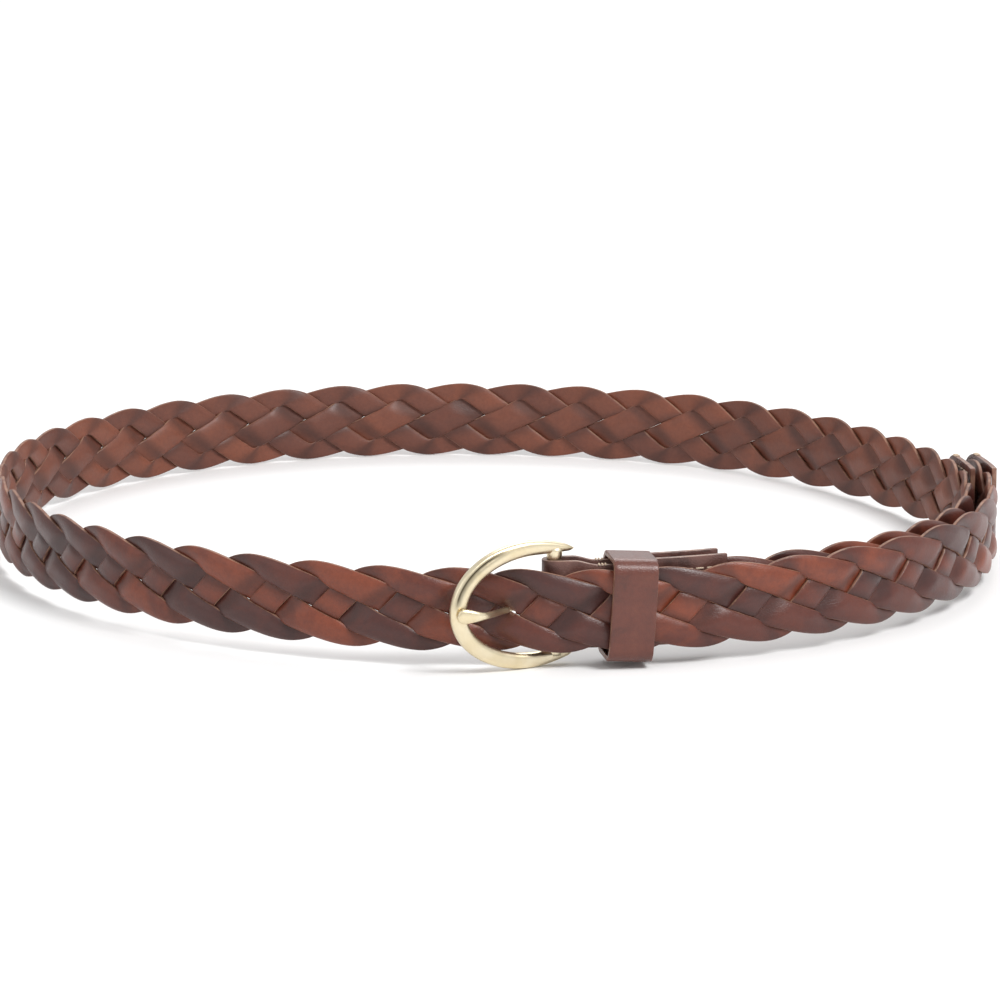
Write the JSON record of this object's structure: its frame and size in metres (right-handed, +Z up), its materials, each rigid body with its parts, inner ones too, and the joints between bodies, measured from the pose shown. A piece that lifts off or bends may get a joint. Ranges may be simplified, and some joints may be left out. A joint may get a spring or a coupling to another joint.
{
  "type": "braided belt",
  "caption": "Narrow braided leather belt, fastened into a loop: flat braid, folded tab on an open horseshoe buckle with a prong, keeper loop and a free end lying outside.",
  "frame": {"origin": "on the floor, under the middle of the belt's outline", "axes": "+Z up across the strap's width, -Y towards the buckle at the front, +X to the right as the buckle is seen"},
  "size_m": [0.2908, 0.2874, 0.0347],
  "materials": {
    "strand_leather": "semi-gloss reddish brown leather strips, varied from piece to piece",
    "tab_leather": "semi-gloss dark reddish brown leather with raw cut edges",
    "keeper_leather": "semi-gloss reddish brown leather with fine grain",
    "buckle_metal": "satin pale gold"
  },
  "bodies": {
    "root": {"strand_1": "strand_leather", "strand_2": "strand_leather", "strand_3": "strand_leather", "strand_4": "strand_leather", "chape": "tab_leather", "tip_tab": "tab_leather", "keeper_loop": "keeper_leather", "buckle_frame": "buckle_metal", "prong": "buckle_metal"}
  },
  "joints": []
}
